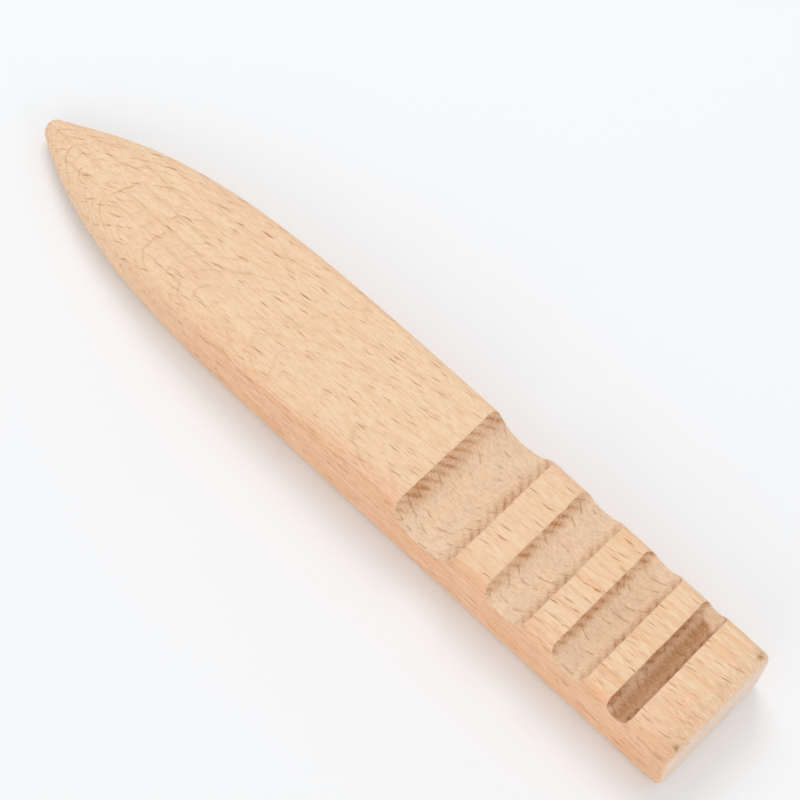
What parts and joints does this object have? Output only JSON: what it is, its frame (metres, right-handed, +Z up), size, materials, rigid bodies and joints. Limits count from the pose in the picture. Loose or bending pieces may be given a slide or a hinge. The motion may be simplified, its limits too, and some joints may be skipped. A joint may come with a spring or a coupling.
{
  "type": "wood edge slicker",
  "caption": "Solid beech leather edge slicker with a flat pointed nose and cross grooves of stepped widths for rounding strap edges.",
  "frame": {"origin": "centre of the bounding box on its bottom plane: the plane of the flat underside that the tool rests on, midway along its length", "axes": "+X along the tool from the pointed nose to the square butt, +Y across its width, +Z up out of the grooved face"},
  "size_m": [0.16, 0.027, 0.0138],
  "materials": {
    "beech": "bare beech, sanded smooth on the flats and nose, cut and slightly fuzzy in the grooves"
  },
  "bodies": {
    "root": {"slicker_body": "beech"}
  },
  "joints": []
}
